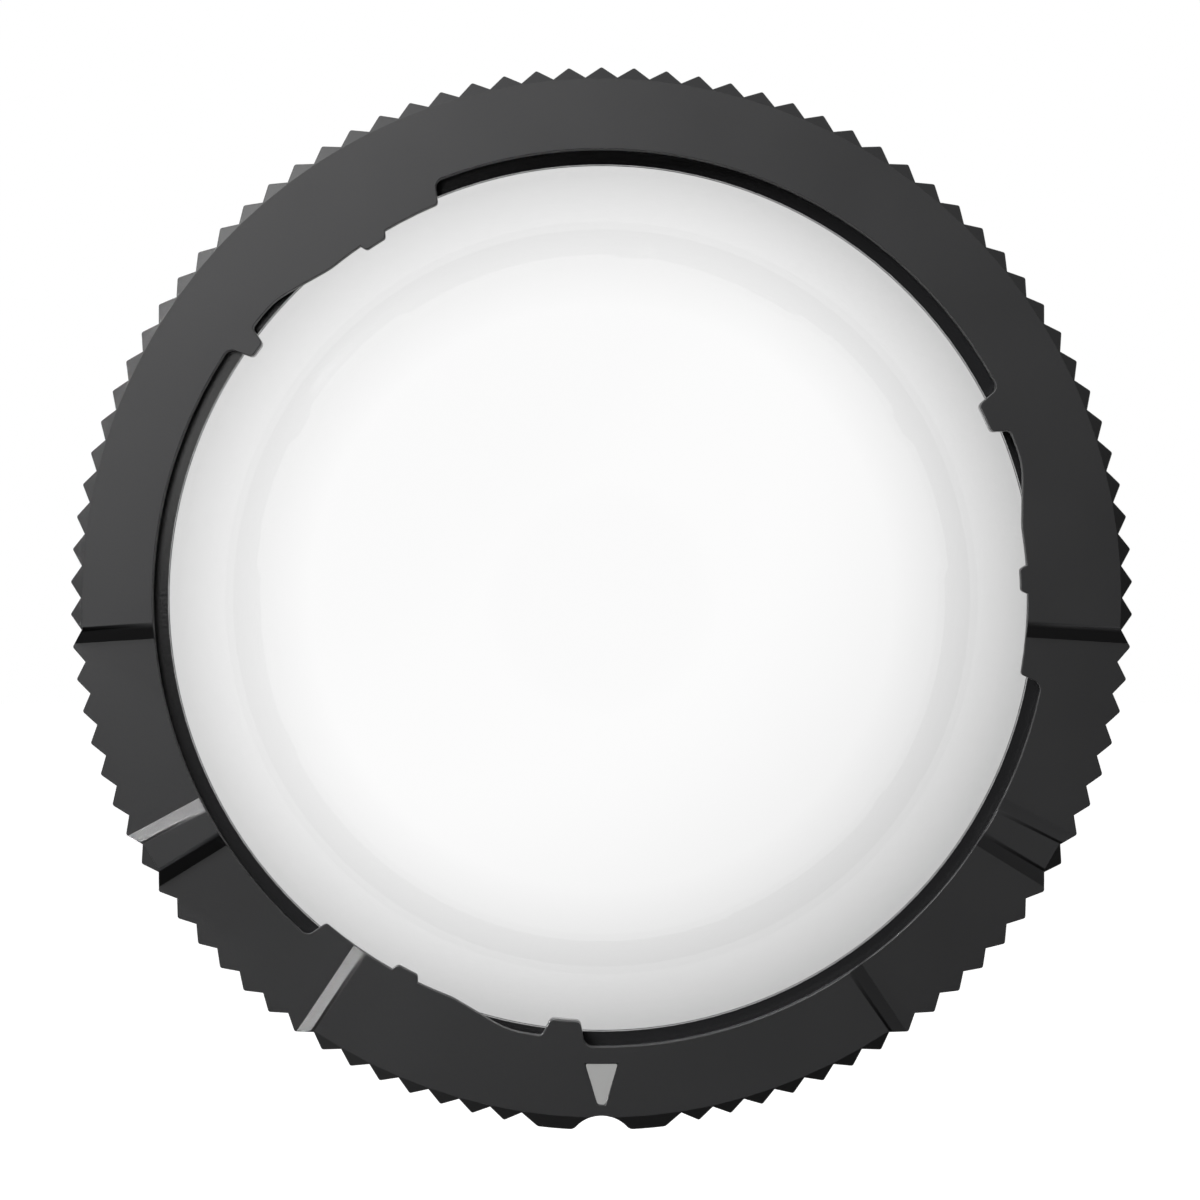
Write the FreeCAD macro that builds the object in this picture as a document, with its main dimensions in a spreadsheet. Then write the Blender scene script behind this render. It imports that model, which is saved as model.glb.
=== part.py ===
import FreeCAD, Part
import Sketcher
import os

# Lens guard: a clear dome bonded into a black grip ring, which locks on a camera with a three-lug bayonet.
# +Y is the optical axis and points out of the dome, +Z is up and the index mark is at the bottom.
# The origin is the centre of the bayonet, on the rear face that meets the camera.
# Lengths are in millimetres. Angles are in degrees, anticlockwise from +X as seen from behind.

doc = FreeCAD.newDocument("LensGuard")
sheet = doc.addObject("Spreadsheet::Sheet", "Sizes")

DRIVING_SIZES = [
    ("rim_radius", 20.04, "outside of the ring, at its plain blocks"),
    ("ring_width", 3.15, "outside of the ring to bore"),
    ("tooth_count", 102, "tooth positions round the rim"),
    ("tooth_drop", 0.04, "tooth tips below the plain blocks"),
    ("tooth_depth", 0.42, "tip to root of a tooth"),
    ("plain_valleys", 4, "valleys left out beside the thumb notch"),
    ("tooth_bevel", 0.52, "bevel on both ends of each tooth"),
    ("notch_depth", 0.58, "thumb notch, from the outside of the ring"),
    ("notch_radius", 1.26, "thumb notch"),
    ("notch_round", 0.3, "lips of the thumb notch"),
    ("index_angle", 270.0, "place of the index mark and the thumb notch"),
    ("lug_angle", 2.5, "place of the first lug's detent nub"),
    ("lug_thickness", 1.0, "lug, along the axis"),
    ("lug_reach", 0.85, "bore to the land of a lug"),
    ("lug_lead", 14.3, "nub to the entry end of a lug"),
    ("key_lead", 11.45, "nub to the entry end of the shorter key lug"),
    ("end_lean", 1.5, "lean of the walls where a lug meets the bore"),
    ("wall_lean", 0.85, "lean of the stop's face"),
    ("nub_rise", 0.26, "detent nub above the land"),
    ("nub_half", 1.5, "half the nub's tip"),
    ("nub_lean", 0.45, "lean of each side of the nub"),
    ("ramp_start", 7.0, "nub to the start of the cam ramp"),
    ("ramp_end", 15.0, "nub to the end of the cam ramp"),
    ("recess_reach", 0.27, "bore to the floor of the locking recess"),
    ("stop_start", 19.75, "nub to the face of the stop"),
    ("stop_end", 26.1, "nub to the back of the stop"),
    ("key_stop_end", 24.4, "nub to the back of the key lug's stop"),
    ("stop_reach", 0.93, "bore to the tip of the stop"),
    ("corner_round", 0.16, "outer corners of the nub and of the entry end"),
    ("stop_round", 0.2, "corners of the stop"),
    ("root_round", 0.35, "corners where a lug meets the bore"),
    ("ramp_round", 3.0, "both ends of the cam ramp"),
    ("channel_depth", 1.0, "bayonet channel in front of the lugs"),
    ("channel_end", 18.8, "nub to the end of the channel"),
    ("channel_lead", 5.0, "channel, past the entry end of a lug"),
    ("step_depth", 0.5, "low sectors of the rear face"),
    ("step_slope", 45.0, "slope between the raised pads and the low sectors"),
    ("low_one_start", 33.7, "index to the near edge of the first low sector"),
    ("low_one_end", 58.3, "index to the far edge of the first low sector"),
    ("low_two_start", 61.9, "index to the near edge of the second low sector"),
    ("low_two_end", 86.5, "index to the far edge of the second low sector"),
    ("mark_inset", 0.62, "bore to the base of the index triangle"),
    ("mark_margin", 0.54, "tip of the index triangle to the tooth roots"),
    ("mark_half", 0.61, "half the base of the index triangle"),
    ("mark_tip", 0.15, "half the blunt tip of the index triangle"),
    ("mark_depth", 0.2, "engraved depth of the index triangle"),
    ("mark_sink", 0.03, "paint below the rear face"),
    ("ledge_thickness", 0.6, "ledge under the dome"),
    ("ledge_reach", 0.48, "bore to the inside of the ledge"),
    ("seat_step", 0.1, "bore to the wall of the dome's seat"),
    ("seat_depth", 1.35, "ring's front edge above the ledge"),
    ("seat_clearance", 0.05, "round the dome's ground edge"),
    ("dome_step", 0.09, "inside of the ledge to the inside of the dome"),
    ("dome_sag", 8.65, "inside of the dome above the ledge"),
    ("dome_wall", 1.2, "dome's wall"),
    ("bezel_drop", 0.75, "ring's front edge to the shoulder of the rim"),
    ("shoulder_land", 0.15, "flat between the bezel and the tooth bevels"),
]

for row, (alias, size, meaning) in enumerate(DRIVING_SIZES, start=1):
    sheet.set(f"A{row}", meaning)
    sheet.set(f"B{row}", str(size))
    sheet.setAlias(f"B{row}", alias)
doc.recompute()

# Radii and levels worked out from the driving sizes, as expressions that the sketches share.
RIM = "Sizes.rim_radius"
TIP = f"({RIM} - Sizes.tooth_drop)"
ROOT = f"({TIP} - Sizes.tooth_depth)"
BORE = f"({RIM} - Sizes.ring_width)"
LAND = f"({BORE} - Sizes.lug_reach)"
NUB_TIP = f"({LAND} - Sizes.nub_rise)"
RECESS = f"({BORE} - Sizes.recess_reach)"
STOP_TIP = f"({BORE} - Sizes.stop_reach)"
LUG_FOOT = f"({BORE} + Sizes.lug_reach)"
CLEAR_BORE = f"({BORE} - 2 * Sizes.lug_reach)"
LEDGE = f"({BORE} - Sizes.ledge_reach)"
SEAT = f"({BORE} + Sizes.seat_step)"
DOME_EDGE = f"({SEAT} - Sizes.seat_clearance)"
DOME_BASE = f"({LEDGE} + Sizes.dome_step)"
DOME_INSIDE = f"(({DOME_BASE}^2 + Sizes.dome_sag^2) / (2 * Sizes.dome_sag))"
DOME_OUTSIDE = f"({DOME_INSIDE} + Sizes.dome_wall)"

MOUNT_DEPTH = "(Sizes.lug_thickness + Sizes.channel_depth)"
SEAT_LEVEL = f"({MOUNT_DEPTH} + Sizes.ledge_thickness)"
FRONT = f"({SEAT_LEVEL} + Sizes.seat_depth)"
SHOULDER = f"({FRONT} - Sizes.bezel_drop)"
DOME_MIDDLE = f"({SEAT_LEVEL} + Sizes.dome_sag - {DOME_INSIDE})"

TOOTH_PITCH = "(360 / Sizes.tooth_count)"
LUG_COUNT = 3
LUG_PITCH = 360 / LUG_COUNT
ORIGIN = (-1, 1)
ACROSS_AXIS = -1
UPRIGHT_AXIS = -2
START, END, CENTRE = 1, 2, 3
AXIAL_SHARE = 0.99  # of an axial edge's length, at least, is along Y


def value(expression):
    return float(sheet.evalExpression(expression.replace("Sizes.", "")))


# Sketch helpers

def new_body(label):
    body = doc.addObject("PartDesign::Body", label)
    body.Label = label
    return body


def origin_feature(body, role):
    return next(f for f in body.Origin.OriginFeatures if f.Role == role)


def new_sketch(body, name, plane, turn=None, turn_axis=(0, 0, 1), level=None):
    sketch = body.newObject("Sketcher::SketchObject", name)
    sketch.AttachmentSupport = [(origin_feature(body, plane), "")]
    sketch.MapMode = "FlatFace"
    if turn:
        turned = FreeCAD.Rotation(FreeCAD.Vector(*turn_axis), 1)
        sketch.AttachmentOffset = FreeCAD.Placement(FreeCAD.Vector(), turned)
        sketch.setExpression("AttachmentOffset.Rotation.Angle", turn)
    if level:
        sketch.setExpression("AttachmentOffset.Base.z", f"-1 * {level}")
    return sketch


def bind(sketch, kind, *where, to):
    index = sketch.addConstraint(Sketcher.Constraint(kind, *where, value(to)))
    sketch.setExpression(f"Constraints[{index}]", to)


def join(sketch, *ends):
    sketch.addConstraint(Sketcher.Constraint("Coincident", *ends))


def place_point(sketch, geometry, end, across, up):
    if across == "0":
        sketch.addConstraint(Sketcher.Constraint("PointOnObject", geometry, end, UPRIGHT_AXIS))
    else:
        bind(sketch, "DistanceX", *ORIGIN, geometry, end, to=across)
    if up == "0":
        sketch.addConstraint(Sketcher.Constraint("PointOnObject", geometry, end, ACROSS_AXIS))
    else:
        bind(sketch, "DistanceY", *ORIGIN, geometry, end, to=up)


def draw_polygon(sketch, corners):
    points = [FreeCAD.Vector(value(across), value(up), 0) for across, up in corners]
    sides = [
        sketch.addGeometry(Part.LineSegment(point, points[i - 1]))
        for i, point in enumerate(points)
    ]
    for i, (across, up) in enumerate(corners):
        join(sketch, sides[i], END, sides[i - 1], START)
        place_point(sketch, sides[i], START, across, up)


def draw_circle(sketch, radius, up):
    middle = FreeCAD.Vector(0, value(up), 0)
    circle = sketch.addGeometry(Part.Circle(middle, FreeCAD.Vector(0, 0, 1), value(radius)))
    bind(sketch, "Radius", circle, to=radius)
    place_point(sketch, circle, CENTRE, "0", up)


def point_at(radius, angle):
    return (f"{radius} * cos({angle})", f"{radius} * sin({angle})")


def arc_about_origin(sketch, radius, start_angle, end_angle):
    circle = Part.Circle(FreeCAD.Vector(), FreeCAD.Vector(0, 0, 1), value(radius))
    radians = [value(f"({angle}) * pi / 180") for angle in (start_angle, end_angle)]
    arc = sketch.addGeometry(Part.ArcOfCircle(circle, *radians))
    join(sketch, arc, CENTRE, *ORIGIN)
    bind(sketch, "Radius", arc, to=radius)
    bind(sketch, "DistanceY", *ORIGIN, arc, START, to=point_at(radius, start_angle)[1])
    bind(sketch, "DistanceY", *ORIGIN, arc, END, to=point_at(radius, end_angle)[1])
    return arc


def add_line(sketch, geometry_a, end_a, geometry_b, end_b):
    start = sketch.getPoint(geometry_a, end_a)
    end = sketch.getPoint(geometry_b, end_b)
    line = sketch.addGeometry(Part.LineSegment(start, end))
    join(sketch, line, START, geometry_a, end_a)
    join(sketch, line, END, geometry_b, end_b)
    return line


# Feature helpers

def finish(body, feature):
    doc.recompute()
    body.Tip = feature
    return feature


def pad(body, sketch, length, forward=True):
    feature = body.newObject("PartDesign::Pad", f"{sketch.Name}_pad")
    feature.Profile = sketch
    feature.setExpression("Length", length)
    feature.Reversed = forward
    return finish(body, feature)


def pocket(body, sketch, depth=None, taper=None, forward=True, middle=False):
    feature = body.newObject("PartDesign::Pocket", f"{sketch.Name}_pocket")
    feature.Profile = sketch
    if depth:
        feature.setExpression("Length", depth)
    else:
        feature.Type = "ThroughAll"
    if taper:
        feature.setExpression("TaperAngle", taper)
    feature.Reversed = not forward
    feature.Midplane = middle
    return finish(body, feature)


def revolve(body, sketch, kind="PartDesign::Revolution", sweep="360"):
    feature = body.newObject(kind, f"{sketch.Name}_turned")
    feature.Profile = sketch
    feature.ReferenceAxis = (sketch, ["V_Axis"])
    feature.setExpression("Angle", sweep)
    return finish(body, feature)


def polar_pattern(body, original, sweep, count):
    feature = body.newObject("PartDesign::PolarPattern", f"{original.Name}_round")
    feature.Originals = [original]
    feature.Axis = (origin_feature(body, "Y_Axis"), [""])
    feature.setExpression("Angle", sweep)
    feature.setExpression("Occurrences", count)
    return finish(body, feature)


def axial_edges_near(shape, spots):
    axial = []
    for number, edge in enumerate(shape.Edges, start=1):
        ends = [vertex.Point for vertex in edge.Vertexes]
        if len(ends) == 2 and abs(ends[0].y - ends[1].y) > AXIAL_SHARE * edge.Length:
            axial.append((number, FreeCAD.Vector(ends[0].x, 0, ends[0].z)))
    names = []
    for radius, angle in spots:
        across, up = point_at(radius, angle)
        spot = FreeCAD.Vector(value(across), 0, value(up))
        number = min(axial, key=lambda pair: pair[1].distanceToPoint(spot))[0]
        names.append(f"Edge{number}")
    return names


def fillet(body, name, edges, radius):
    base = body.Tip
    feature = body.newObject("PartDesign::Fillet", name)
    feature.Base = (base, edges)
    feature.setExpression("Radius", radius)
    return finish(body, feature)


# Bayonet ring

def lug_sizes(number):
    is_key = number == 1
    return {
        "middle": f"(Sizes.lug_angle + {number} * {LUG_PITCH})",
        "lead": "Sizes.key_lead" if is_key else "Sizes.lug_lead",
        "stop_end": "Sizes.key_stop_end" if is_key else "Sizes.stop_end",
    }


def cam_profile(lug):
    nub_foot = "(Sizes.nub_half + Sizes.nub_lean)"
    return [
        (LAND, f"(Sizes.end_lean - {lug['lead']})", f"(-{nub_foot})"),
        (NUB_TIP, "(-Sizes.nub_half)", "Sizes.nub_half"),
        (LAND, nub_foot, "Sizes.ramp_start"),
        (RECESS, "Sizes.ramp_end", "Sizes.stop_start"),
        (STOP_TIP, "(Sizes.stop_start + Sizes.wall_lean)", f"({lug['stop_end']} - Sizes.end_lean)"),
    ]


def draw_lug(sketch, lug):
    foot = arc_about_origin(sketch, LUG_FOOT, f"(-{lug['lead']})", lug["stop_end"])
    cam = [arc_about_origin(sketch, *step) for step in cam_profile(lug)]
    add_line(sketch, foot, START, cam[0], START)
    for before, after in zip(cam, cam[1:]):
        add_line(sketch, before, END, after, START)
    add_line(sketch, cam[-1], END, foot, END)


def lug_corners(lug):
    entry, nub, exit_land, recess, stop = cam_profile(lug)
    spots = {
        "root": [(BORE, f"(-{lug['lead']})"), (BORE, lug["stop_end"])],
        "corner": [entry[:2], nub[:2], (NUB_TIP, nub[2])],
        "ramp": [(LAND, exit_land[2]), recess[:2]],
        "stop": [(RECESS, recess[2]), stop[:2], (STOP_TIP, stop[2])],
    }
    return {
        kind: [(radius, f"({angle} + {lug['middle']})") for radius, angle in corners]
        for kind, corners in spots.items()
    }


def add_lugs(body):
    lugs = [lug_sizes(number) for number in range(LUG_COUNT)]
    for number, lug in enumerate(lugs, start=1):
        sketch = new_sketch(body, f"lug_{number}", "XZ_Plane", turn=lug["middle"])
        draw_lug(sketch, lug)
        pad(body, sketch, MOUNT_DEPTH)
    for kind in ("ramp", "root", "stop", "corner"):
        spots = [spot for lug in lugs for spot in lug_corners(lug)[kind]]
        fillet(body, f"{kind}_rounds", axial_edges_near(body.Tip.Shape, spots), f"Sizes.{kind}_round")


def cut_channel(body):
    start = "(-Sizes.lug_angle - Sizes.channel_end)"
    sketch = new_sketch(body, "channel", "XY_Plane", turn=start, turn_axis=(0, 1, 0))
    draw_polygon(sketch, [
        (CLEAR_BORE, "Sizes.lug_thickness"),
        (BORE, "Sizes.lug_thickness"),
        (BORE, MOUNT_DEPTH),
        (CLEAR_BORE, MOUNT_DEPTH),
    ])
    sweep = "Sizes.channel_end + Sizes.lug_lead + Sizes.channel_lead"
    groove = revolve(body, sketch, "PartDesign::Groove", sweep)
    polar_pattern(body, groove, "360", f"{LUG_COUNT}")


def cut_low_sectors(body):
    outside = f"({RIM} + Sizes.ring_width)"
    cuts = []
    for name in ("low_one", "low_two"):
        sketch = new_sketch(body, name, "XZ_Plane", turn="Sizes.index_angle")
        near, far = f"Sizes.{name}_start", f"Sizes.{name}_end"
        draw_polygon(sketch, [
            point_at(CLEAR_BORE, near),
            point_at(outside, near),
            point_at(outside, far),
            point_at(CLEAR_BORE, far),
        ])
        cuts.append(pocket(body, sketch, "Sizes.step_depth", taper="-Sizes.step_slope"))
    mirror = body.newObject("PartDesign::Mirrored", "low_sectors_mirrored")
    mirror.Originals = cuts
    mirror.MirrorPlane = (origin_feature(body, "YZ_Plane"), [""])
    finish(body, mirror)


def cut_notch(body):
    sketch = new_sketch(body, "thumb_notch", "XZ_Plane")
    draw_circle(sketch, "Sizes.notch_radius", f"({RIM} - Sizes.notch_depth + Sizes.notch_radius) * -1")
    pocket(body, sketch)
    half_angle = "(asin(Sizes.notch_radius / Sizes.rim_radius) / 1 deg)"
    lips = [(RIM, f"(Sizes.index_angle {sign} {half_angle})") for sign in "+-"]
    fillet(body, "notch_lips", axial_edges_near(body.Tip.Shape, lips), "Sizes.notch_round")


def cut_teeth(body):
    first = f"(Sizes.index_angle - (Sizes.plain_valleys + 1) / 2 * {TOOTH_PITCH})"
    sketch = new_sketch(body, "tooth_valley", "XZ_Plane", turn=first)
    tip_across, tip_up = point_at(TIP, f"({TOOTH_PITCH} / 2)")
    beyond = f"(2 * {tip_across} - {ROOT})"
    draw_polygon(sketch, [
        (ROOT, "0"),
        (beyond, f"2 * {tip_up}"),
        (beyond, f"-2 * {tip_up}"),
    ])
    valley = pocket(body, sketch)
    count = "(Sizes.tooth_count - Sizes.plain_valleys)"
    polar_pattern(body, valley, f"({count} - 1) * {TOOTH_PITCH}", count)


def bevel_teeth(body):
    bevel = "Sizes.tooth_bevel"
    inner, outer = f"({RIM} - 2 * {bevel})", f"({RIM} + {bevel})"
    rear = (f"(-1 * {bevel})", f"(2 * {bevel})")
    front = (f"({SHOULDER} + {bevel})", f"({SHOULDER} - 2 * {bevel})")
    sketch = new_sketch(body, "tooth_bevel", "XY_Plane", turn="-Sizes.index_angle", turn_axis=(0, 1, 0))
    for beyond, within in (rear, front):
        draw_polygon(sketch, [(inner, beyond), (outer, beyond), (outer, within)])
    three_teeth = f"3 * 2 * pi * {RIM} / Sizes.tooth_count"
    cut = pocket(body, sketch, three_teeth, middle=True)
    polar_pattern(body, cut, "360", "Sizes.tooth_count")


def draw_index_triangle(sketch):
    base_level = f"(-1 * ({BORE} + Sizes.mark_inset))"
    tip_level = f"(-1 * ({ROOT} - Sizes.mark_margin))"
    draw_polygon(sketch, [
        ("(-1 * Sizes.mark_half)", base_level),
        ("(-1 * Sizes.mark_tip)", tip_level),
        ("Sizes.mark_tip", tip_level),
        ("Sizes.mark_half", base_level),
    ])


def make_bayonet_ring():
    body = new_body("bayonet_ring")
    plate = new_sketch(body, "mount_plate", "XZ_Plane")
    draw_circle(plate, RIM, "0")
    draw_circle(plate, BORE, "0")
    pad(body, plate, MOUNT_DEPTH)
    add_lugs(body)
    front = new_sketch(body, "front_section", "XY_Plane")
    draw_polygon(front, [
        (LEDGE, MOUNT_DEPTH),
        (LEDGE, SEAT_LEVEL),
        (SEAT, SEAT_LEVEL),
        (SEAT, FRONT),
        (f"({RIM} - Sizes.tooth_bevel - Sizes.shoulder_land)", SHOULDER),
        (RIM, SHOULDER),
        (RIM, MOUNT_DEPTH),
    ])
    revolve(body, front)
    cut_channel(body)
    cut_low_sectors(body)
    cut_notch(body)
    cut_teeth(body)
    bevel_teeth(body)
    engraving = new_sketch(body, "index_engraving", "XZ_Plane")
    draw_index_triangle(engraving)
    pocket(body, engraving, "Sizes.mark_depth")
    return body


# Dome and index mark

def add_sphere(body, kind, name, radius):
    sphere = body.newObject(kind, name)
    sphere.AttachmentSupport = [(origin_feature(body, "XY_Plane"), "")]
    sphere.MapMode = "FlatFace"
    sphere.setExpression("AttachmentOffset.Base.y", DOME_MIDDLE)
    sphere.setExpression("Radius", radius)
    return finish(body, sphere)


def make_dome():
    body = new_body("dome")
    add_sphere(body, "PartDesign::AdditiveSphere", "outside", DOME_OUTSIDE)
    foot = new_sketch(body, "foot_trim", "XZ_Plane", level=SEAT_LEVEL)
    draw_circle(foot, f"2 * {DOME_OUTSIDE}", "0")
    pocket(body, foot, forward=False)
    edge = new_sketch(body, "ground_edge", "XZ_Plane", level=SEAT_LEVEL)
    draw_circle(edge, f"2 * {DOME_OUTSIDE}", "0")
    draw_circle(edge, DOME_EDGE, "0")
    pocket(body, edge)
    add_sphere(body, "PartDesign::SubtractiveSphere", "inside", DOME_INSIDE)
    return body


def make_index_mark():
    body = new_body("index_mark")
    sketch = new_sketch(body, "paint_fill", "XZ_Plane", level="Sizes.mark_depth")
    draw_index_triangle(sketch)
    pad(body, sketch, "Sizes.mark_depth - Sizes.mark_sink", forward=False)
    return body


def check_document(bodies):
    failed = [o.Name for o in doc.Objects if {"Invalid", "Error"} & set(o.State)]
    if failed:
        raise RuntimeError(f"failed objects: {failed}")
    for body in bodies:
        if body.Shape.isNull() or not body.Shape.isValid():
            raise RuntimeError(f"{body.Label} has no valid shape")


bodies = [make_bayonet_ring(), make_dome(), make_index_mark()]
doc.recompute()
check_document(bodies)
os.makedirs("parts", exist_ok=True)
for body in bodies:
    body.Shape.exportStep(f"parts/{body.Label}.step")
    print(body.Label, f"{body.Shape.Volume:.2f} mm3, {len(body.Shape.Solids)} solid")
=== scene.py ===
import bmesh
import bpy
import math
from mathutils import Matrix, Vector


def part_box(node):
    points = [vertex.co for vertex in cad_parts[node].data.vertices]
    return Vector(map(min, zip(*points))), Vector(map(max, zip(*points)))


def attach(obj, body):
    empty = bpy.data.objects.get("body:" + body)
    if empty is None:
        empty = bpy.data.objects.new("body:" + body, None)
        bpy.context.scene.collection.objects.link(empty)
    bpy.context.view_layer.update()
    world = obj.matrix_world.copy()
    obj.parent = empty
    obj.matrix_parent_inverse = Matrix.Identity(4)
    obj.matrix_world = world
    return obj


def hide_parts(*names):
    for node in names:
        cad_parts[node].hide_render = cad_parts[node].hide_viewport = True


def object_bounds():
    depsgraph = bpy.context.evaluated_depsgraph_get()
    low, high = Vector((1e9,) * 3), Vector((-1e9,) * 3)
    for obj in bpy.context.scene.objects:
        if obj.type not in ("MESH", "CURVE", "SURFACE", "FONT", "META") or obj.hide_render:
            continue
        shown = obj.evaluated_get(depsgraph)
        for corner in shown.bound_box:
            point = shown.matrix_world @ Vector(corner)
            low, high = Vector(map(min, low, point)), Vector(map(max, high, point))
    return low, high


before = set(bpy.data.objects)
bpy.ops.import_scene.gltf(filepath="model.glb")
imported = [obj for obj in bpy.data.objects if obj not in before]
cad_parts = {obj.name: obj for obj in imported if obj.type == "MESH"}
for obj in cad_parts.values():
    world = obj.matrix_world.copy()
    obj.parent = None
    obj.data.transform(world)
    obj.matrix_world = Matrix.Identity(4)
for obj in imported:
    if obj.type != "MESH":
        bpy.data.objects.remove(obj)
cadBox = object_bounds()
scene = bpy.context.scene
mm = 0.001
print("frame loaded:", sorted(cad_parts))


def hexToLinear(text):
    channels = [int(text[i:i + 2], 16) / 255 for i in (1, 3, 5)]
    linear = [c / 12.92 if c <= 0.04045 else ((c + 0.055) / 1.055) ** 2.4 for c in channels]
    return (*linear, 1.0)


def addNode(tree, kind, feeds=None, **settings):
    node = tree.nodes.new(kind)
    for name, value in settings.items():
        setattr(node, name, value)
    for socket, value in (feeds or {}).items():
        if isinstance(value, bpy.types.NodeSocket):
            tree.links.new(value, node.inputs[socket])
        else:
            node.inputs[socket].default_value = value
    return node


def newMaterial(name):
    material = bpy.data.materials.new(name)
    material.use_nodes = True
    material.node_tree.nodes.clear()
    return material, material.node_tree


def addPiece(name, mesh):
    piece = bpy.data.objects.new(name, mesh)
    scene.collection.objects.link(piece)
    return piece


# Materials

plastic = {
    "colour": "#1f1f20",
    "ior": 1.58,           # polycarbonate
    "roughness": 0.46,
    "unevenness": 0.05,    # of the roughness, over patches
    "polish": 0.18,        # roughness in the channel and on the ledge, where the mould's core is polished
    "polishReach": 17.2 * mm,
    "polishDepth": 1.05 * mm,
    "patch": 5.0 * mm,
    "patchDetail": 2,
    "grain": 0.11 * mm,    # spark-eroded mould texture, drawn a little coarse so that it shows
    "grainDetail": 1,
    "grainDepth": 0.0022 * mm,
}


# Black polycarbonate from a spark-eroded mould: near black, a soft satin sheen and a very fine grain.
def blackPolycarbonate():
    material, tree = newMaterial("black_polycarbonate_moulded")
    place = addNode(tree, "ShaderNodeTexCoord").outputs["Object"]
    patches = addNode(tree, "ShaderNodeTexNoise", {
        "Vector": place, "Scale": 1 / plastic["patch"], "Detail": plastic["patchDetail"],
    })
    low = plastic["roughness"] - plastic["unevenness"]
    high = plastic["roughness"] + plastic["unevenness"]
    sheen = addNode(tree, "ShaderNodeMapRange", {
        "Value": patches.outputs["Fac"], "To Min": low, "To Max": high,
    })
    parts = addNode(tree, "ShaderNodeSeparateXYZ", {"Vector": place}).outputs
    across = addNode(tree, "ShaderNodeCombineXYZ", {"X": parts["X"], "Y": parts["Z"]}).outputs[0]
    reach = addNode(tree, "ShaderNodeVectorMath", {0: across}, operation="LENGTH").outputs["Value"]
    within = addNode(tree, "ShaderNodeMath", {0: reach, 1: plastic["polishReach"]}, operation="LESS_THAN")
    deep = addNode(
        tree, "ShaderNodeMath", {0: parts["Y"], 1: plastic["polishDepth"]}, operation="GREATER_THAN")
    core = addNode(tree, "ShaderNodeMath", {0: within.outputs[0], 1: deep.outputs[0]}, operation="MULTIPLY")
    finish = addNode(tree, "ShaderNodeMix", {
        "Factor": core.outputs[0], 2: sheen.outputs["Result"], 3: plastic["polish"],
    })
    grain = addNode(tree, "ShaderNodeTexNoise", {
        "Vector": place, "Scale": 1 / plastic["grain"], "Detail": plastic["grainDetail"],
    })
    bump = addNode(tree, "ShaderNodeBump", {
        "Height": grain.outputs["Fac"], "Distance": plastic["grainDepth"],
    })
    shader = addNode(tree, "ShaderNodeBsdfPrincipled", {
        "Base Color": hexToLinear(plastic["colour"]),
        "IOR": plastic["ior"],
        "Roughness": finish.outputs[0],
        "Normal": bump.outputs["Normal"],
    })
    addNode(tree, "ShaderNodeOutputMaterial", {"Surface": shader.outputs["BSDF"]})
    return material


glass = {
    "facing": "#ffffff",
    "edge": "#b9b9b9",     # painted shade where the glass is seen slantwise
    "slant": (0.15, 0.36),
    "ior": 1.5,
    "specular": 0.05,      # anti-reflection coating
}


# Polished clear glass: no colour of its own, with painted shade that greys it where it is seen slantwise,
# and faint sharp reflections.
def clearGlass():
    material, tree = newMaterial("clear_polished_glass")
    slant = addNode(tree, "ShaderNodeLayerWeight", {"Blend": 0.5}).outputs["Facing"]
    share = addNode(tree, "ShaderNodeMapRange", {
        "Value": slant, "From Min": glass["slant"][0], "From Max": glass["slant"][1],
    }).outputs["Result"]
    # painted shade: the colour turns from facing to edge grey where the glass is seen slantwise
    paintedSlantShade = addNode(tree, "ShaderNodeMix", {
        "Factor": share,
        6: hexToLinear(glass["facing"]),
        7: hexToLinear(glass["edge"]),
    }, data_type="RGBA")
    shader = addNode(tree, "ShaderNodeBsdfPrincipled", {
        "Base Color": paintedSlantShade.outputs[2],
        "Roughness": 0.0,
        "IOR": glass["ior"],
        "Specular IOR Level": glass["specular"],
        "Transmission Weight": 1.0,
    })
    addNode(tree, "ShaderNodeOutputMaterial", {"Surface": shader.outputs["BSDF"]})
    return material


paint = {
    "colour": "#a6a6a5",
    "roughness": 0.55,
    "speck": 0.06 * mm,
    "speckDetail": 1,
    "speckDepth": 0.0015 * mm,
}


# Light-grey filled paint: matt and even, with a faint roll where it dried.
def greyPaint():
    material, tree = newMaterial("grey_filled_paint")
    place = addNode(tree, "ShaderNodeTexCoord").outputs["Object"]
    speck = addNode(tree, "ShaderNodeTexNoise", {
        "Vector": place, "Scale": 1 / paint["speck"], "Detail": paint["speckDetail"],
    })
    bump = addNode(tree, "ShaderNodeBump", {
        "Height": speck.outputs["Fac"], "Distance": paint["speckDepth"],
    })
    shader = addNode(tree, "ShaderNodeBsdfPrincipled", {
        "Base Color": hexToLinear(paint["colour"]),
        "Roughness": paint["roughness"],
        "Normal": bump.outputs["Normal"],
    })
    addNode(tree, "ShaderNodeOutputMaterial", {"Surface": shader.outputs["BSDF"]})
    return material


blackPlastic = blackPolycarbonate()
domeGlass = clearGlass()
markPaint = greyPaint()
print("materials made")


# Grip ring: the moulded ring with its edges broken

ring = {
    "weld": 0.02 * mm,               # points closer than this are one
    "flat": math.radians(0.6),       # faces that turn by less than this are one
    "hard": math.radians(25),        # edges sharper than this are rounded
    "boreReach": 17.3 * mm,          # the bore and the lugs lie within this radius
    "boreDepth": 1.05 * mm,          # edges deeper in the bore stay sharp
    "gripReach": 19.3 * mm,          # the teeth lie outside this radius
    "rearCosine": 0.5,               # to the optical axis: the rear face and its slopes have more
    "flankCosine": 0.1,              # and the flanks of the teeth less
    "boreRound": 0.03 * mm,
    "stepRound": 0.12 * mm,          # the upper edges of the slopes on the rear face
    "tipRound": 0.07 * mm,
    "flankRound": 0.04 * mm,         # where a tooth's flanks meet its bevels
    "plainRound": 0.04 * mm,
    "segments": 3,
    "meet": 0.0005 * mm,             # corners of rounds that come this close are one
}


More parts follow.
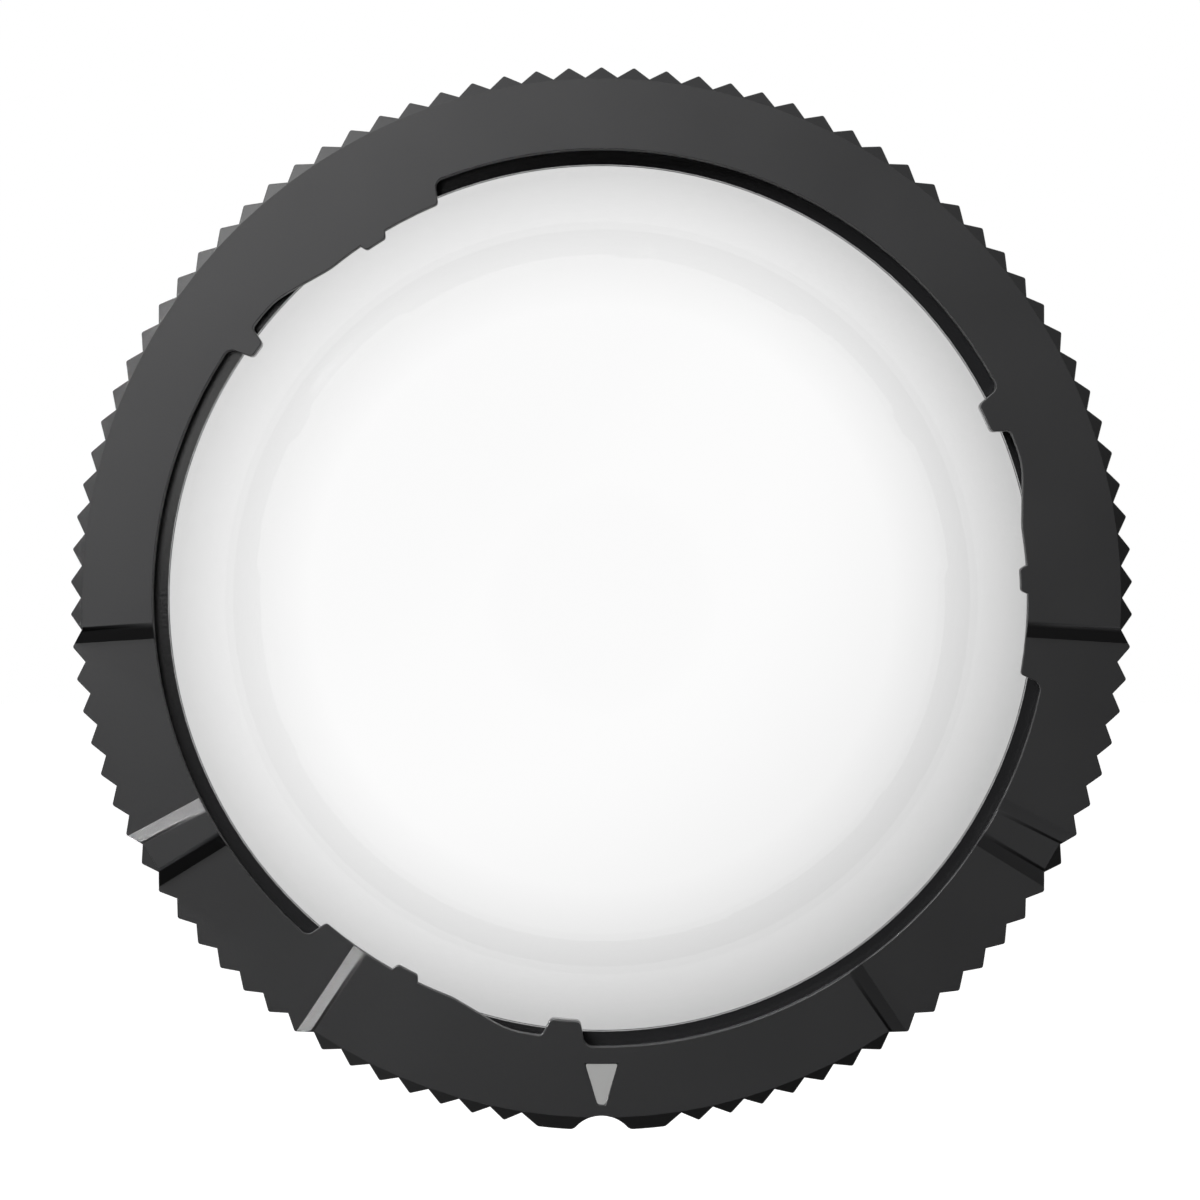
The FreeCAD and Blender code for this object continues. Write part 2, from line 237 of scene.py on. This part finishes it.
# The piece in whole faces, cut once down the middle so that no face has a hole.
def mergedMesh(node):
    edit = bmesh.new()
    edit.from_mesh(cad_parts[node].data)
    bmesh.ops.remove_doubles(edit, verts=edit.verts, dist=ring["weld"])
    everything = edit.verts[:] + edit.edges[:] + edit.faces[:]
    cut = bmesh.ops.bisect_plane(
        edit, geom=everything, dist=ring["weld"], plane_co=(0, 0, 0), plane_no=(1, 0, 0))
    for item in cut["geom_cut"]:
        if isinstance(item, bmesh.types.BMEdge):
            item.seam = True
    bmesh.ops.dissolve_limit(
        edit, angle_limit=ring["flat"], verts=edit.verts, edges=edit.edges, delimit={"SEAM"})
    return edit


def reachOf(point):
    return math.hypot(point.x, point.z)


def roundOf(edge):
    if len(edge.link_faces) != 2 or edge.calc_face_angle(0) < ring["hard"] or not edge.is_convex:
        return 0.0
    middle = (edge.verts[0].co + edge.verts[1].co) / 2
    slants = sorted(abs(face.normal.y) for face in edge.link_faces)
    if reachOf(middle) < ring["boreReach"]:
        return ring["boreRound"] if middle.y < ring["boreDepth"] else 0.0
    if reachOf(middle) < ring["gripReach"]:
        return ring["stepRound"] if slants[0] > ring["rearCosine"] else ring["plainRound"]
    if any(reachOf(face.calc_center_median()) < ring["gripReach"] for face in edge.link_faces):
        return 0.0
    return ring["tipRound"] if slants[1] < ring["flankCosine"] else ring["flankRound"]


def plainCopy(piece):
    mesh = bpy.data.meshes.new_from_object(piece.evaluated_get(bpy.context.evaluated_depsgraph_get()))
    bpy.data.objects.remove(piece)
    return mesh


# A face keeps its normal up to its rim, and a round turns from the normal of one face to the next one's.
def cornerNormal(face, corner):
    around = corner.vert.link_faces
    faces = [other for other in around if other.material_index == 0]
    if not faces:
        return corner.vert.normal
    like = min(faces, key=lambda other: other.normal.angle(face.normal, 0))
    alike = [other for other in faces if other.normal.angle(like.normal, 0) < ring["hard"]]
    return sum((other.normal * other.calc_area() for other in alike), Vector()).normalized()


def roundedMesh(node, roundOfEdge, material):
    edit = mergedMesh(node)
    widths = [roundOfEdge(edge) for edge in edit.edges]
    weight = edit.edges.layers.float.new("bevel_weight_edge")
    for edge, width in zip(edit.edges, widths):
        edge[weight] = width / max(widths)
    mesh = bpy.data.meshes.new(node + "Blank")
    edit.to_mesh(mesh)
    edit.free()
    mesh.materials.clear()
    mesh.materials.append(material)    # for faces
    mesh.materials.append(material)    # for rounds, until the normals are set
    blank = addPiece(node + "Blank", mesh)
    rounds = blank.modifiers.new("edgeRounds", "BEVEL")
    rounds.limit_method = "WEIGHT"
    rounds.width = max(widths)
    rounds.segments = ring["segments"]
    rounds.use_clamp_overlap = False
    rounds.material = 1
    mesh = plainCopy(blank)
    mesh.shade_smooth()
    edit = bmesh.new()
    edit.from_mesh(mesh)
    for vert in edit.verts:
        vert.co.y = max(vert.co.y, cadBox[0].y)
    bmesh.ops.remove_doubles(edit, verts=edit.verts, dist=ring["meet"])
    normals = [cornerNormal(face, corner) for face in edit.faces for corner in face.loops]
    edit.to_mesh(mesh)
    edit.free()
    mesh.normals_split_custom_set(normals)
    for face in mesh.polygons:
        face.material_index = 0
    mesh.materials.pop(index=1)
    return mesh


gripRing = addPiece("gripRing", roundedMesh("bayonet_ring", roundOf, blackPlastic))
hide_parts("bayonet_ring")
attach(gripRing, "root")
print("grip ring:", len(gripRing.data.polygons), "faces")


# Dome: a spherical shell with a ground edge, turned about the optical axis

domeLow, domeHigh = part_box("dome")
dome = {
    "wall": 1.2 * mm,
    "footRadius": 16.5 * mm,    # where the inside meets the foot
    "bond": 0.01 * mm,     # film under the foot's rim, so that foot and ledge don't share a plane
    "weld": 0.001 * mm,
    "hard": math.radians(25),
    "around": 256,
    "steps": 40,
}


def domeTree():
    tree = bpy.data.node_groups.new("domeShell", "GeometryNodeTree")
    for name in ("Inside Radius", "Outside Radius", "Foot Radius", "Edge Radius", "Foot Level", "Middle"):
        tree.interface.new_socket(name, in_out="INPUT", socket_type="NodeSocketFloat")
    for name in ("Around", "Steps"):
        tree.interface.new_socket(name, in_out="INPUT", socket_type="NodeSocketInt")
    tree.interface.new_socket("Glass", in_out="INPUT", socket_type="NodeSocketMaterial")
    tree.interface.new_socket("Geometry", in_out="OUTPUT", socket_type="NodeSocketGeometry")
    given = addNode(tree, "NodeGroupInput").outputs

    def work(operation, *values):
        return addNode(tree, "ShaderNodeMath", dict(enumerate(values)), operation=operation).outputs[0]

    def point(across, along):
        return addNode(tree, "ShaderNodeCombineXYZ", {"X": across, "Y": along}).outputs[0]

    # The section lies in XY, with X as the distance from the path that it is turned along.
    section = addNode(tree, "GeometryNodeJoinGeometry")
    for radius, reach in (("Inside Radius", "Foot Radius"), ("Outside Radius", "Edge Radius")):
        start = work("ARCCOSINE", work("DIVIDE", given[reach], given[radius]))
        arc = addNode(tree, "GeometryNodeCurveArc", {
            "Resolution": given["Steps"],
            "Radius": given[radius],
            "Start Angle": start,
            "Sweep Angle": work("SUBTRACT", math.pi / 2, start),
        }, mode="RADIUS")
        lifted = addNode(tree, "GeometryNodeTransform", {
            "Geometry": arc.outputs["Curve"],
            "Translation": point(0.0, given["Middle"]),
        })
        tree.links.new(lifted.outputs["Geometry"], section.inputs["Geometry"])
    edgeRise = work("SQRT", work("SUBTRACT", work("POWER", given["Outside Radius"], 2.0),
                                 work("POWER", given["Edge Radius"], 2.0)))
    footRise = work("SQRT", work("SUBTRACT", work("POWER", given["Inside Radius"], 2.0),
                                 work("POWER", given["Foot Radius"], 2.0)))
    corners = [
        point(given["Foot Radius"], work("ADD", given["Middle"], footRise)),
        point(given["Edge Radius"], given["Foot Level"]),
        point(given["Edge Radius"], work("ADD", given["Middle"], edgeRise)),
    ]
    for start, end in zip(corners, corners[1:]):
        side = addNode(tree, "GeometryNodeCurvePrimitiveLine", {"Start": start, "End": end})
        tree.links.new(side.outputs["Curve"], section.inputs["Geometry"])
    inward = point(work("MULTIPLY", given["Edge Radius"], -1.0), 0.0)
    moved = addNode(tree, "GeometryNodeTransform", {"Geometry": section.outputs[0], "Translation": inward})
    path = addNode(tree, "GeometryNodeCurvePrimitiveCircle", {
        "Resolution": given["Around"],
        "Radius": given["Edge Radius"],
    })
    level = addNode(tree, "GeometryNodeSetCurveNormal", {"Curve": path.outputs["Curve"]}, mode="Z_UP")
    turned = addNode(tree, "GeometryNodeCurveToMesh", {
        "Curve": level.outputs["Curve"],
        "Profile Curve": moved.outputs["Geometry"],
    })
    upright = addNode(tree, "GeometryNodeTransform", {
        "Geometry": turned.outputs["Mesh"],
        "Rotation": (math.pi / 2, 0, 0),
    })
    closed = addNode(tree, "GeometryNodeMergeByDistance", {
        "Geometry": upright.outputs["Geometry"],
        "Distance": dome["weld"],
    })
    whole = addNode(tree, "GeometryNodeRealizeInstances", {"Geometry": closed.outputs["Geometry"]})
    dressed = addNode(tree, "GeometryNodeSetMaterial", {
        "Geometry": whole.outputs["Geometry"],
        "Material": given["Glass"],
    })
    addNode(tree, "NodeGroupOutput", {"Geometry": dressed.outputs["Geometry"]})
    return tree


def setInputs(modifier, values):
    for item in modifier.node_group.interface.items_tree:
        if item.in_out == "INPUT":
            modifier[item.identifier] = values[item.name]


def makeDome():
    blank = addPiece("domeBlank", bpy.data.meshes.new("domeBlank"))
    modifier = blank.modifiers.new("domeShell", "NODES")
    modifier.node_group = domeTree()
    height = domeHigh.y - dome["wall"] - domeLow.y
    inside = (height ** 2 + dome["footRadius"] ** 2) / (2 * height)    # a sphere through foot and crown
    outside = inside + dome["wall"]
    setInputs(modifier, {
        "Inside Radius": inside,
        "Outside Radius": outside,
        "Foot Radius": dome["footRadius"],
        "Edge Radius": domeHigh.x,
        "Foot Level": domeLow.y + dome["bond"],
        "Middle": domeHigh.y - outside,
        "Around": dome["around"],
        "Steps": dome["steps"],
        "Glass": domeGlass,
    })
    mesh = plainCopy(blank)
    edit = bmesh.new()
    edit.from_mesh(mesh)
    bmesh.ops.recalc_face_normals(edit, faces=edit.faces)
    for edge in edit.edges:
        edge.smooth = edge.calc_face_angle(0) < dome["hard"]
    edit.to_mesh(mesh)
    edit.free()
    mesh.shade_smooth()
    return addPiece("clearDome", mesh)


clearDome = makeDome()
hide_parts("dome")
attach(clearDome, "root")
print("dome:", len(clearDome.data.polygons), "faces")


# Index mark: the paint fill, with round corners

mark = {
    "cornerRound": 0.1 * mm,
    "cornerCosine": 0.9,    # to the optical axis: the edges at the corners run along it
}


def markRound(edge):
    along = (edge.verts[1].co - edge.verts[0].co).normalized()
    corner = abs(along.y) > mark["cornerCosine"] and edge.calc_face_angle(0) > ring["hard"]
    return mark["cornerRound"] if corner else 0.0


indexPaint = addPiece("indexPaint", roundedMesh("index_mark", markRound, markPaint))
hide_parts("index_mark")
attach(indexPaint, "root")
print("index mark:", len(indexPaint.data.polygons), "faces")


# Stage: a pale floor, softboxes and the white surroundings

stage = {
    "floorDrop": 12 * mm,      # below the ring
    "floorHalf": 2.0,
    "floorColour": "#ffffff",
    "floorGlow": 0.65,         # keeps the floor white beyond the lamps' light
    "glowSpan": (40 * mm, 165 * mm),    # it grows away from the ring, where the shadow lies
}


def makeFloor():
    material, tree = newMaterial("pale_floor")
    matt = addNode(tree, "ShaderNodeBsdfDiffuse", {"Color": hexToLinear(stage["floorColour"])})
    place = addNode(tree, "ShaderNodeTexCoord").outputs["Object"]
    reach = addNode(tree, "ShaderNodeVectorMath", {0: place}, operation="LENGTH").outputs["Value"]
    glowing = addNode(tree, "ShaderNodeMapRange", {
        "Value": reach, "From Min": stage["glowSpan"][0], "From Max": stage["glowSpan"][1],
        "To Max": stage["floorGlow"],
    }).outputs["Result"]
    seen = addNode(tree, "ShaderNodeLightPath").outputs["Is Camera Ray"]
    share = addNode(tree, "ShaderNodeMath", {0: seen, 1: glowing}, operation="MULTIPLY").outputs[0]
    glow = addNode(tree, "ShaderNodeEmission", {"Color": (1, 1, 1, 1), "Strength": share})
    both = addNode(tree, "ShaderNodeAddShader", {0: matt.outputs["BSDF"], 1: glow.outputs["Emission"]})
    addNode(tree, "ShaderNodeOutputMaterial", {"Surface": both.outputs["Shader"]})
    half = stage["floorHalf"]
    level = cadBox[0].z - stage["floorDrop"]
    corners = [(-half, -half, level), (half, -half, level), (half, half, level), (-half, half, level)]
    mesh = bpy.data.meshes.new("floor")
    mesh.from_pydata(corners, [], [(0, 1, 2, 3)])
    mesh.materials.append(material)
    floor = addPiece("floor", mesh)
    floor.visible_glossy = False    # the ledge and the glass show the surroundings only
    floor.visible_transmission = False
    floor.visible_diffuse = False
    return floor


# Places and sizes are in millimetres, spreads in degrees.
softboxes = {
    "key": {"at": (-50, -70, 59), "aim": (0, 0, 0), "size": 56, "brightness": 15.5, "spread": 180},
    "rake": {"at": (-136, -22, 146), "aim": (0, 0, 0), "size": 95, "brightness": 5.2, "spread": 180},
    "strip": {"at": (-168, -22, 116), "aim": (-19, 0, -18), "size": 34, "brightness": 1.15, "spread": 8},
    "glint": {"at": (-24, -150, 11), "aim": (0, 0, 0), "size": 16, "brightness": 3, "spread": 180},
}


def litPieces(name, pieces):
    lit = bpy.data.collections.new(name)
    for piece in pieces:
        lit.objects.link(piece)
    return lit


def addSoftbox(name, box, lit):
    lamp = bpy.data.lights.new(name, "AREA")
    lamp.shape = "SQUARE"
    lamp.size = box["size"] * mm
    lamp.energy = box["brightness"] * math.pi * lamp.size ** 2
    lamp.spread = math.radians(box["spread"])
    softbox = bpy.data.objects.new(name, lamp)
    softbox.location = Vector(box["at"]) * mm
    softbox.rotation_euler = (Vector(box["aim"]) - Vector(box["at"])).to_track_quat("-Z", "Y").to_euler()
    softbox.visible_camera = False
    softbox.visible_transmission = False
    softbox.light_linking.receiver_collection = lit
    scene.collection.objects.link(softbox)


surroundings = {
    "room": 0.3,
    "dark": 0.03,              # behind the camera, and at the lower right
    "corner": (-0.7, 0.0, 0.7),
    "side": (-0.6, -0.2),      # cosine to the bright upper-left corner
    "front": (0.8, 0.95),      # cosine to the optical axis
    "back": (0.3, 0.7),        # white backdrop
    "glow": (-0.03, 1.0, 0.03),    # where the backdrop is white, as glass shows it
    "fade": (0.06, 0.15),          # away from there it fades
    "faded": 0.74,
    "wall": (0.2, 0.6),            # and the walls further off are white again
}


def makeWorld():
    world = bpy.data.worlds.new("studio")
    world.use_nodes = True
    tree = world.node_tree
    tree.nodes.clear()
    way = addNode(tree, "ShaderNodeTexCoord").outputs["Generated"]
    along = addNode(tree, "ShaderNodeSeparateXYZ", {"Vector": way}).outputs["Y"]

    def turn(value, span, low, high):
        return addNode(tree, "ShaderNodeMapRange", {
            "Value": value, "From Min": span[0], "From Max": span[1], "To Min": low, "To Max": high,
        }, interpolation_type="SMOOTHSTEP").outputs["Result"]

    corner = addNode(
        tree, "ShaderNodeVectorMath", {0: way, 1: surroundings["corner"]}, operation="DOT_PRODUCT")
    side = turn(corner.outputs["Value"], surroundings["side"], surroundings["dark"], surroundings["room"])
    toward = addNode(tree, "ShaderNodeMath", {0: along, 1: -1.0}, operation="MULTIPLY").outputs[0]
    front = turn(toward, surroundings["front"], 1.0, surroundings["dark"])
    room = addNode(tree, "ShaderNodeMath", {0: side, 1: front}, operation="MINIMUM").outputs[0]
    backdrop = turn(along, surroundings["back"], 0.0, 1.0)
    lit = addNode(tree, "ShaderNodeMath", {0: room, 1: backdrop}, operation="MAXIMUM").outputs[0]
    away = addNode(tree, "ShaderNodeVectorMath", {0: way, 1: surroundings["glow"]}, operation="DISTANCE")
    faded = turn(away.outputs["Value"], surroundings["fade"], 1.0, surroundings["faded"])
    wall = turn(away.outputs["Value"], surroundings["wall"], 0.0, 1.0)
    through = addNode(tree, "ShaderNodeMath", {0: faded, 1: wall}, operation="MAXIMUM").outputs[0]
    path = addNode(tree, "ShaderNodeLightPath").outputs
    shown = addNode(tree, "ShaderNodeMix", {
        "Factor": path["Is Transmission Ray"], 2: lit, 3: through,
    }).outputs[0]
    strength = addNode(tree, "ShaderNodeMix", {
        "Factor": path["Is Camera Ray"], 2: shown, 3: 1.0,
    }).outputs[0]
    glow = addNode(tree, "ShaderNodeBackground", {"Color": (1, 1, 1, 1), "Strength": strength})
    addNode(tree, "ShaderNodeOutputWorld", {"Surface": glow.outputs["Background"]})
    scene.world = world


floor = makeFloor()
litAll = litPieces("lit", (gripRing, indexPaint, floor))
litRing = litPieces("litRing", (gripRing,))
for name, box in softboxes.items():
    addSoftbox(name, box, litRing if name == "strip" else litAll)
makeWorld()
print("stage set")


# Camera: straight behind the guard, framed as the photograph is

view = {
    "distance": 280 * mm,
    "photoSize": 1200,             # pixels
    "photoCentre": (601.5, 598.0),
    "photoReach": 531.2,           # centre to the tooth tips
    "tipDepth": 0.5 * mm,          # the tips start this far in front of the rear face
    "sensor": 36.0,                # millimetres
    "nearest": 1 * mm,
}


def makeCamera():
    reach = cadBox[1].z
    perPixel = reach / view["photoReach"]
    lens = bpy.data.cameras.new("camera")
    lens.sensor_width = view["sensor"]
    lens.lens = view["sensor"] * view["distance"] / (view["photoSize"] * perPixel)
    lens.clip_start = view["nearest"]
    camera = bpy.data.objects.new("camera", lens)
    offset = [(c - view["photoSize"] / 2) * perPixel for c in view["photoCentre"]]
    camera.location = (-offset[0], view["tipDepth"] - view["distance"], offset[1])
    camera.rotation_euler = (math.pi / 2, 0, 0)
    scene.collection.objects.link(camera)
    scene.camera = camera


makeCamera()
scene.view_settings.view_transform = "Standard"
print("camera placed")
